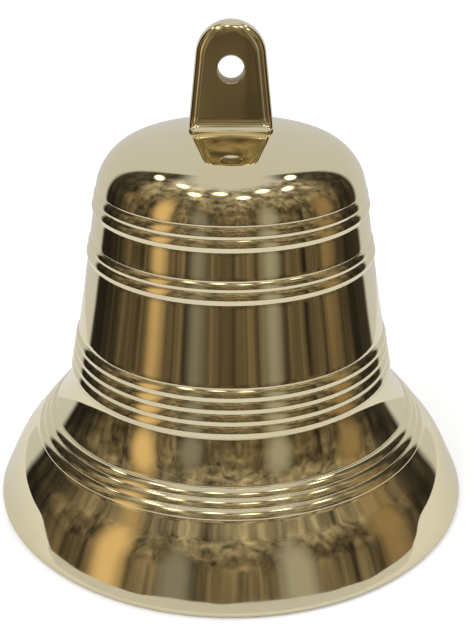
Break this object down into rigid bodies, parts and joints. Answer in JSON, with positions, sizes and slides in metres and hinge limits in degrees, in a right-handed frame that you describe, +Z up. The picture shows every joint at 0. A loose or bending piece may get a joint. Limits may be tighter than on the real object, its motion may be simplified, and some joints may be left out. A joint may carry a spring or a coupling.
{
  "type": "church bell",
  "caption": "Cast brass church bell with turned moulding bands, a flared lip, a flat pierced hanging lug and a clapper on a pivot pin inside.",
  "frame": {"origin": "centre of the mouth, on the plane that the rim rests on", "axes": "+Z up along the bell's axis towards the lug; +Y along the lug's hole and the clapper's pivot pin; +X across the lug"},
  "size_m": [0.305, 0.305, 0.3007],
  "materials": {
    "shell_brass": "cast, turned and mirror-polished outside, as cast inside",
    "lug_brass": "cast and mirror-polished",
    "staple_steel": "forged and machined",
    "seal_leather": "oiled leather washer",
    "plate_steel": "zinc-plated washer",
    "nut_steel": "zinc-plated nut",
    "pin_steel": "ground pin",
    "thrust_brass": "turned",
    "rod_steel": "forged, dark",
    "bush_brass": "turned bush",
    "ball_brass": "turned and polished"
  },
  "bodies": {
    "bell": {"bell_shell": "shell_brass", "crown_lug": "lug_brass", "clapper_staple": "staple_steel", "crown_seal": "seal_leather", "crown_plate": "plate_steel", "crown_nut": "nut_steel", "crown_locknut": "nut_steel", "pivot_pin": "pin_steel", "split_pin": "pin_steel", "pivot_washer": "plate_steel", "thrust_washer_front": "thrust_brass", "thrust_washer_back": "thrust_brass"},
    "clapper": {"clapper_rod": "rod_steel", "clapper_bush": "bush_brass", "clapper_ball": "ball_brass", "ball_washer": "plate_steel", "ball_nut": "nut_steel"}
  },
  "joints": [
    {"name": "clapper_swing", "type": "hinge", "parent": "bell", "child": "clapper", "pos_m": [0, 0, 0.184], "axis": [0, 1, 0], "range_deg": [-33.6, 33.6]}
  ]
}
